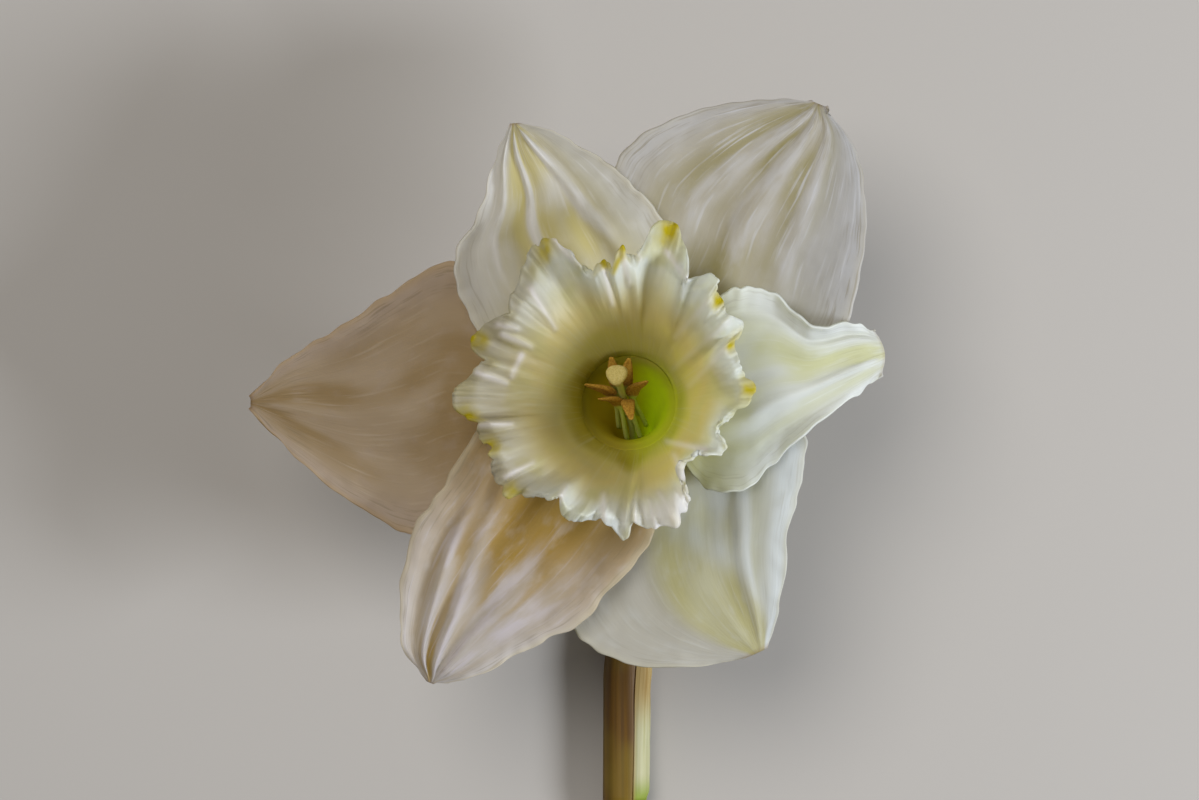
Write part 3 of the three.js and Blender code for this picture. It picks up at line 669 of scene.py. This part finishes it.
# ------------------------------------------------------------------ ruffled cup
# The cup is one trumpet of thin creamy tissue that grew from the tube's mouth. Its rim is
# crowded into lobes and frills that turn outwards, with yellow at some of their tips.
CUP_BASE_Z = 40.1
CUP_RIM = Vector((-4.4, 0.7, 58.5))
CUP_LEAN = Vector((0.21, -0.1))
CUP_MEAN_RADIUS = 21.0
LOBE_DROP = 0.6
# The share of the cup that is tucked inside the tube's mouth, and how it narrows and drops there.
TUCKED = 0.05
TUCK_NARROWS = 11.4
TUCK_DROPS = 45
# The waves round the cup, from broad folds to the crimped rim: how close and how high each is.
FOLDS, RUFFLES, CRINKLES, CRIMPS = 3.4, 9, 22, 34
FOLD_HEIGHT, RUFFLE_HEIGHT, CRINKLE_HEIGHT, CRIMP_HEIGHT = 1.8, 2.2, 0.4, 0.5
RIM_TURNS_DOWN = 1.1
# The rim's lobes: the angle of each point and its distance from the rim's centre.
RIM = [
    (0, 23.1), (7, 22), (12.5, 21.3), (20, 21.5), (25, 24), (33, 22.5), (40, 22.4), (47, 24.2),
    (52, 21.3), (57.5, 24.5), (65.5, 28.6), (72, 27.2), (76, 21.3), (82, 21.5), (86, 18.5),
    (90, 20.2), (96, 18.6), (101, 20), (108, 24.4), (115.5, 25), (120, 23.8), (127.5, 20.6),
    (134, 20.5), (141, 18.8), (152, 21.5), (160, 22.2), (165.5, 18.8), (171, 20.3), (178, 22),
    (184, 22.8), (191, 22.3), (194, 20.6), (201, 19.9), (207.5, 19.4), (218, 21), (229, 21.6),
    (238, 19.8), (246, 17.6), (252, 19.9), (260, 20.2), (268, 20.3), (274, 21.6), (278.5, 24),
    (283, 20.8), (288, 22.9), (298, 22.8), (307, 22.2), (311, 19.6), (316, 16.4), (326, 17.4),
    (333, 20.3), (341.5, 18.9), (348, 20.1), (354, 22),
]


def rim_at(v):
    """Angle and radius of the rim, smooth through its lobes, v once round."""
    count = len(RIM)
    place = (v % 1.0) * count
    i = int(place)
    near = [Vector((RIM[(i + k) % count][0] + 360 * ((i + k) // count), RIM[(i + k) % count][1]))
            for k in (-1, 0, 1, 2)]
    a, b, c, d = near
    f = place - i
    return b + 0.5 * f * (c - a + f * (2 * a - 5 * b + 4 * c - d + f * (3 * (b - c) + d - a)))


# Creases that stand up as ridges, with a painted highlight along their crests: the angle and
# radius of both ends about the rim's centre, how high each stands and how wide it is.
CREASES = [
    (107.9, 24.4, 100, 19.4, 0.9, 1), (125.3, 19.3, 127.3, 12.1, 0.8, 1), (90, 20, 83.4, 13.4, 0.9, 1),
    (81.8, 21.5, 76, 16.7, 0.9, 1), (79.4, 23.3, 73.9, 21, 0.8, 1), (65.1, 23.6, 52.6, 21.4, 0.9, 1),
    (147.8, 19, 144.7, 16.1, 0.9, 1), (151.2, 17.8, 148.9, 13, 0.8, 1), (156.3, 13.7, 171.3, 14.2, 0.6, 1),
    (270.5, 19.6, 270.5, 16, 0.9, 1), (248.7, 18, 248.7, 15.6, 0.8, 1), (283, 22.6, 286, 18, 0.7, 1),
    (291, 22.8, 293, 18.5, 0.7, 1), (299, 22.5, 299, 18, 0.7, 1), (313, 18, 318, 15, 0.8, 1),
    (330, 18, 322, 13, 0.6, 1), (28.4, 22, 17.2, 11.8, 1, 1.6), (20.3, 21, 3.4, 13.6, 0.9, 1.5),
    (40, 21, 36, 14, 0.8, 1.5), (196, 19.5, 200, 15, 0.6, 1), (222, 20, 226, 15.5, 0.6, 1),
    (172, 19.5, 176, 15, 0.6, 1),
]
CREASE_REACH = 3.6
# Where the rim is tipped with yellow, and how wide a tip is, in degrees.
GOLD_TIPS = [0.5, 20, 38, 67, 82, 90, 112, 158, 190, 207, 228]
GOLD_WIDTH = 3.6


def about_rim(degrees, radius):
    """Place seen from above, by angle and radius about the rim's centre."""
    angle = math.radians(degrees)
    return CUP_RIM.xy + Vector((math.cos(angle), math.sin(angle))) * radius


crease_lines = [(about_rim(a, b), about_rim(c, d), height, width)
                for a, b, c, d, height, width in CREASES]


def crease_at(flat):
    """How high a crease stands at a point seen from above, and how much painted highlight its crest gives
    there.
    """
    lift, painted_highlight = 0.0, 0.0
    for start, end, height, spread in crease_lines:
        along = end - start
        share = min(max((flat - start).dot(along) / along.length_squared, 0.0), 1.0)
        off = (flat - start - along * share).length
        if off < CREASE_REACH:
            width = spread * (1 - 0.45 * share)
            lift = max(lift, 1.25 * height * math.exp(-(off / width) ** 2))
            painted_highlight = max(painted_highlight, math.exp(-(off / 0.5) ** 2) * (1 - 0.5 * share) / spread ** 2)
    return lift, painted_highlight


def cup_point(u, v):
    """Place on the cup: u from inside the tube's mouth to the rim, v once round."""
    grown = max((u - TUCKED) / (1 - TUCKED), 0.0)
    tucked = min((u - TUCKED) / (1 - TUCKED), 0.0)
    degrees, radius = rim_at(v)
    circle = Vector((math.cos(math.radians(degrees)), math.sin(math.radians(degrees))))
    lobe = radius - CUP_MEAN_RADIUS
    fold = noise.noise(Vector((circle.x * FOLDS, circle.y * FOLDS, 4 + grown * 1.2)))
    ruffle = noise.noise(Vector((circle.x * RUFFLES, circle.y * RUFFLES, grown * 2.5)))
    crinkle = noise.noise(Vector((circle.x * CRINKLES, circle.y * CRINKLES, 2 + grown * 6)))
    crimp = noise.noise(Vector((circle.x * CRIMPS, circle.y * CRIMPS, 9 + grown * 3)))
    scallop = 1.6 * abs(ruffle) ** 0.8 - 0.45 + 0.35 * crinkle
    swept = CUP_MEAN_RADIUS + (lobe + scallop * grown ** 6) * grown ** 2
    rim = circle * swept
    rim_z = CUP_RIM.z + CUP_LEAN.dot(rim) - LOBE_DROP * lobe * grown ** 2
    base = circle * (MOUTH_RADIUS + 0.03 + TUCK_NARROWS * tucked) + MOUTH.xy
    flat = base + (rim + CUP_RIM.xy - base) * grown ** 1.25
    z = CUP_BASE_Z + (rim_z - CUP_BASE_Z) * (1 - (1 - grown) ** 1.5) + TUCK_DROPS * tucked
    broad = FOLD_HEIGHT * fold * grown ** 1.5
    z += broad + (RUFFLE_HEIGHT * ruffle + CRINKLE_HEIGHT * crinkle) * grown ** 3
    z += CRIMP_HEIGHT * crimp * grown ** 6
    z += crease_at(flat)[0] * grown - RIM_TURNS_DOWN * eased(grown, 0.88, 1)
    swell = 0.9 * fold * grown + 0.5 * ruffle * grown * grown
    return Vector((flat.x + circle.x * swell, flat.y + circle.y * swell, z))


def cup_tissue():
    """Cup tissue: cool cream at the frills, warmer inside, green where it joins the tube. That green is
    painted brighter on the right and dark olive on the left. The left side carries a darker tan painted
    shade, and the creases' crests and the lower right frill carry a painted highlight.
    """
    material, tree = new_material("cup_tissue")
    leaf = add_node(tree, "UVMap", uv_map="leaf").outputs[0]
    reach = add_node(tree, "Attribute", attribute_name="reach").outputs["Fac"]
    painted_highlight = add_node(tree, "Attribute", attribute_name="painted_highlight").outputs["Fac"]
    gold = add_node(tree, "Attribute", attribute_name="gold").outputs["Fac"]
    greened = add_node(tree, "Attribute", attribute_name="greened").outputs["Fac"]
    place = add_node(tree, "TexCoord").outputs["Object"]
    ribs = add_node(tree, "Mapping", {"Vector": leaf, "Scale": (1 / 1.0, 1 / 20, 1)})
    rib = add_node(tree, "TexNoise", {"Vector": ribs.outputs[0], "Scale": 1.0, "Detail": 3.0}).outputs[0]
    cloud = add_node(tree, "TexNoise", {"Vector": place, "Scale": 1 / (6 * MM), "Detail": 2.0}).outputs[0]
    creeping = add_node(tree, "Math", {0: cloud, 1: -0.5}, operation="ADD").outputs[0]
    uneven = add_node(tree, "Math", {0: creeping, 1: 0.6, 2: reach}, operation="MULTIPLY_ADD").outputs[0]
    skin = tinted(tree, "#dccf94", "#e8edf0", (reach, 0.5, 0.9))
    skin = tinted(tree, skin, "#d0cd94", (cloud, 0.45, 0.7), most=0.6)
    skin = tinted(tree, skin, "#dcd480", (uneven, 0.5, 0.16))
    # Painted light and shade: the green where the cup joins the tube is brighter on the right and dark
    # olive on the left.
    lit_and_shaded_throat_green = tinted(tree, "#a89830", "#ccd234", sideways(tree, *PAINTED_LIGHT_SIDE))
    skin = tinted(tree, skin, lit_and_shaded_throat_green, most=greened)
    # Painted shade: the cup's left side is tinted a darker tan.
    skin = tinted(tree, skin, "#ab9a6c", sideways(tree, -8.0, -22.0), most=0.6)
    skin = tinted(tree, skin, "#e0dcc4", (rib, 0.5, 0.72), most=0.2)
    # Painted highlight on the creases' crests and on the lower right frill.
    skin = tinted(tree, skin, "#f4f0f8", most=painted_highlight)
    skin = tinted(tree, skin, "#cdbd08", most=gold)
    through = tinted(tree, skin, "#ece4a8", most=0.4)
    thin = add_node(tree, "MapRange", {"Value": reach, "From Min": 0.02, "From Max": 0.34, "To Max": 0.58},
                    interpolation_type="SMOOTHSTEP").outputs["Result"]
    tissue_output(tree, skin, through, thin, 0.45, rib, 0.06)
    return material


cup = blade(cup_point, along=62, across=780, across_mm=130, along_mm=28, ring=True)
painted_highlight_layer = cup.verts.layers.float["painted_highlight"]
gold_layer = cup.verts.layers.float.new("gold")
green_layer = cup.verts.layers.float.new("greened")
reach_layer = cup.verts.layers.float["reach"]
for vert in cup.verts:
    from_mouth = vert.co.xy - MOUTH.xy
    side = from_mouth.normalized()
    # Green creeps up the cup from the tube, furthest on the left and in a tongue at the bottom.
    green_to = MOUTH_RADIUS - 0.1 + 1.3 * max(-side.x, 0) - 1.7 * max(side.y, 0)
    tongue = 2.2 * math.exp(-((side.x - 0.03) / 0.2) ** 2) * max(-side.y, 0)
    green_to += tongue + 0.7 * noise.noise(vert.co * 0.3)
    vert[green_layer] = eased(from_mouth.length, green_to + 2.4, green_to - 0.3)
    spoke = vert.co.xy - CUP_RIM.xy
    degrees = math.degrees(math.atan2(spoke.y, spoke.x)) % 360
    # Painted highlight: the frill at the lower right is whitened near the rim, and the creases' crests are
    # marked for it.
    painted_frill_highlight = 0.7 * math.exp(-((degrees - 300) / 20) ** 2) * eased(vert[reach_layer], 0.7, 0.86)
    vert[painted_highlight_layer] = 0.9 * max(crease_at(vert.co.xy)[1], painted_frill_highlight)
    nearest = min(abs((degrees - tip + 180) % 360 - 180) for tip in GOLD_TIPS)
    patchy = 0.85 + 0.8 * noise.noise(vert.co * 0.7)
    at_rim = eased(vert[reach_layer], 0.87, 0.95)
    vert[gold_layer] = math.exp(-(nearest / GOLD_WIDTH) ** 2) * at_rim * patchy
finish_piece(cup, "cup", cup_tissue(), "corona", PETAL_WALL)

# ------------------------------------------------------------------ stamens
# Six stamens stand round the style: a thin pale thread from the tube's wall, and on it a
# powdery brown anther, split down the middle where it sheds its pollen.
ANTHER_TIPS = [(2.7, 2.2), (-0.2, 5.8), (-3.0, 6.0), (-7.1, 1.7), (-4.9, -0.6), (0.2, -3.9)]
ANTHER_TIP_Z = 42.5
ANTHER_ROOT = Vector((-1.2, 0.2, 37.5))
ROOT_RADIUS = 1.6
FIRST_ROOT = 5
ANTHER_RADIUS = 0.75
FILAMENT_RADIUS = 0.4
FILAMENT_SPREAD = 2.2
THREAD_SHARE = 0.54
filament_foot = place_on(axis, tube_start + TUBE_LENGTH * 0.4)


def anther_brown():
    """Ripe anther: dry orange-brown skin under pollen dust; its thread is pale green. Pollen is
    far finer than the dust here, which is drawn coarse enough to show."""
    material, tree = new_material("anther_and_thread")
    reach = add_node(tree, "Attribute", attribute_name="reach").outputs["Fac"]
    place = add_node(tree, "TexCoord").outputs["Object"]
    dust = add_node(tree, "TexNoise", {"Vector": place, "Scale": 1 / (0.3 * MM), "Detail": 2.0}).outputs[0]
    anther = tinted(tree, "#a4741f", "#c2983a", (dust, 0.35, 0.65))
    skin = tinted(tree, "#ccd468", anther, (reach, 0.6, 0.66))
    tissue_output(tree, skin, colour("#c08030"), 0.12, 0.8, dust, 0.025)
    return material


anther_skin = anther_brown()
for number, (tip_x, tip_y) in enumerate(ANTHER_TIPS):
    turn = math.radians(FIRST_ROOT + 360 / len(ANTHER_TIPS) * number)
    outwards = Vector((math.cos(turn), math.sin(turn), 0))
    thread = route([filament_foot + outwards * FILAMENT_SPREAD, ANTHER_ROOT + outwards * ROOT_RADIUS,
                    (tip_x, tip_y, ANTHER_TIP_Z)], 80)
    length = thread[1][-1]
    start = length * THREAD_SHARE
    anther = length - start
    flare = [FILAMENT_RADIUS * 0.8, ANTHER_RADIUS, ANTHER_RADIUS, ANTHER_RADIUS * 0.75, ANTHER_RADIUS * 0.3]
    stamen = lathe([(0.0, 0.0), (FILAMENT_RADIUS, 0.0)]
                   + even_run(FILAMENT_RADIUS, 0.0, FILAMENT_RADIUS * 0.8, start, 12)
                   + [(smooth(flare, i / 20), start + anther * 0.98 * i / 20) for i in range(1, 21)]
                   + [(0.0, length)], sides=24)
    for vert in stamen.verts:
        if vert.co.y > start:
            groove = abs(math.cos(math.atan2(vert.co.z, vert.co.x)))
            vert.co.x *= 1.45
            vert.co.z *= 0.5 + 0.35 * groove
    bend_onto(stamen, thread)
    finish_piece(stamen, f"anther_{number + 1}", anther_skin, f"stamen_{number + 1}")

# ------------------------------------------------------------------ pistil
# The style is a pale rod that rises from the ovary through the stamens. It ends in a velvety
# three-lobed stigma.
STYLE_RADIUS = 0.55
STIGMA_RADIUS = 1.7
STIGMA_HEIGHT = 2.2
style_foot = place_on(axis, tube_start + TUBE_FLOOR + GAP)
style = route([style_foot, (0.3, -4.6, 30.0), (-1.2, 0.2, 38.5), (-2.2, 3.4, 47.0)], 160)
style_length = style[1][-1]
head = style_length - STIGMA_HEIGHT


def stigma_cream():
    """Stigma: velvety cream papillae on a smooth pale green style. The papillae are finer than
    the velvet here, which is drawn coarse enough to show."""
    material, tree = new_material("style_and_stigma")
    reach = add_node(tree, "Attribute", attribute_name="reach").outputs["Fac"]
    place = add_node(tree, "TexCoord").outputs["Object"]
    velvet = add_node(tree, "TexNoise",
                      {"Vector": place, "Scale": 1 / (0.25 * MM), "Detail": 2.0}).outputs[0]
    cream = tinted(tree, "#c8b464", "#dcca80", (velvet, 0.35, 0.65))
    skin = tinted(tree, "#c6cc70", cream, (reach, 0.76, 0.92))
    tissue_output(tree, skin, colour("#d8c070"), 0.2, 0.75, velvet, 0.1)
    return material


pistil = lathe([(0.0, 0.0), (STYLE_RADIUS, 0.0)] + even_run(STYLE_RADIUS, 0.0, STYLE_RADIUS, head, 24)
               + [(1.0, head + 0.4), (STIGMA_RADIUS * 0.85, head + 0.9), (STIGMA_RADIUS, head + 1.5),
                  (STIGMA_RADIUS * 0.9, head + 2.0), (STIGMA_RADIUS * 0.6, style_length),
                  (0.0, style_length - 0.3)], ROUND_SIDES)
for vert in pistil.verts:
    radius = math.hypot(vert.co.x, vert.co.z)
    share = max(radius - STYLE_RADIUS, 0) / (STIGMA_RADIUS - STYLE_RADIUS)
    lobes = 1 + 0.08 * share * math.cos(3 * math.atan2(vert.co.x, vert.co.z))
    vert.co.x *= lobes
    vert.co.z *= lobes
bend_onto(pistil, style)
finish_piece(pistil, "style_and_stigma", stigma_cream(), "pistil")

# ------------------------------------------------------------------ studio
# A matt pale board under the flower. One soft lamp low on the right, as from a window, another
# overhead, and faint light all round. The camera looks straight down.
FLOOR_SIZE = 1.5
floor_sheet = bmesh.new()
bmesh.ops.create_grid(floor_sheet, x_segments=1, y_segments=1, size=FLOOR_SIZE)
floor_mesh = bpy.data.meshes.new("floor")
floor_sheet.to_mesh(floor_mesh)
floor_sheet.free()
floor = bpy.data.objects.new("floor", floor_mesh)
bpy.context.collection.objects.link(floor)
board, board_tree = new_material("pale_board")
board_skin = add_node(board_tree, "BsdfPrincipled", {"Base Color": colour("#a8a39e"), "Roughness": 0.9})
add_node(board_tree, "OutputMaterial", {"Surface": board_skin.outputs[0]})
floor_mesh.materials.append(board)


def soft_lamp(name, place, target, size, power, tint):
    """A round soft lamp of a size in metres and a power in watts, turned to its target."""
    lamp = bpy.data.lights.new(name, "AREA")
    lamp.shape = "DISK"
    lamp.size = size
    lamp.energy = power
    lamp.color = colour(tint)[:3]
    holder = bpy.data.objects.new(name, lamp)
    holder.location = place
    holder.rotation_euler = (Vector(target) - Vector(place)).to_track_quat("-Z", "Y").to_euler()
    bpy.context.collection.objects.link(holder)


aim = bloom_centre + Vector((0, 0, 0.045))
soft_lamp("window", aim + Vector((0.74, -0.2, 0.42)), aim,
          size=0.26, power=9.0, tint="#f0f7ff")
soft_lamp("overhead", aim + Vector((-0.3, 0.3, 0.9)), aim,
          size=0.6, power=6.1, tint="#fffdf8")
world = bpy.data.worlds.new("studio")
world.use_nodes = True
world.node_tree.nodes["Background"].inputs[0].default_value = colour("#d6d6d6")
world.node_tree.nodes["Background"].inputs[1].default_value = 0.3
bpy.context.scene.world = world
bpy.context.scene.view_settings.view_transform = "Standard"

EYE_HEIGHT = 0.640
PLANE_HEIGHT = 0.040
PLANE_WIDTH = 0.1894
SENSOR_WIDTH = 36.0
eye = bpy.data.cameras.new("eye")
eye.sensor_width = SENSOR_WIDTH
eye.lens = SENSOR_WIDTH * (EYE_HEIGHT - PLANE_HEIGHT) / PLANE_WIDTH
camera = bpy.data.objects.new("eye", eye)
camera.location = bloom_centre + Vector((-0.00482, -0.00079, EYE_HEIGHT))
bpy.context.collection.objects.link(camera)
bpy.context.scene.camera = camera
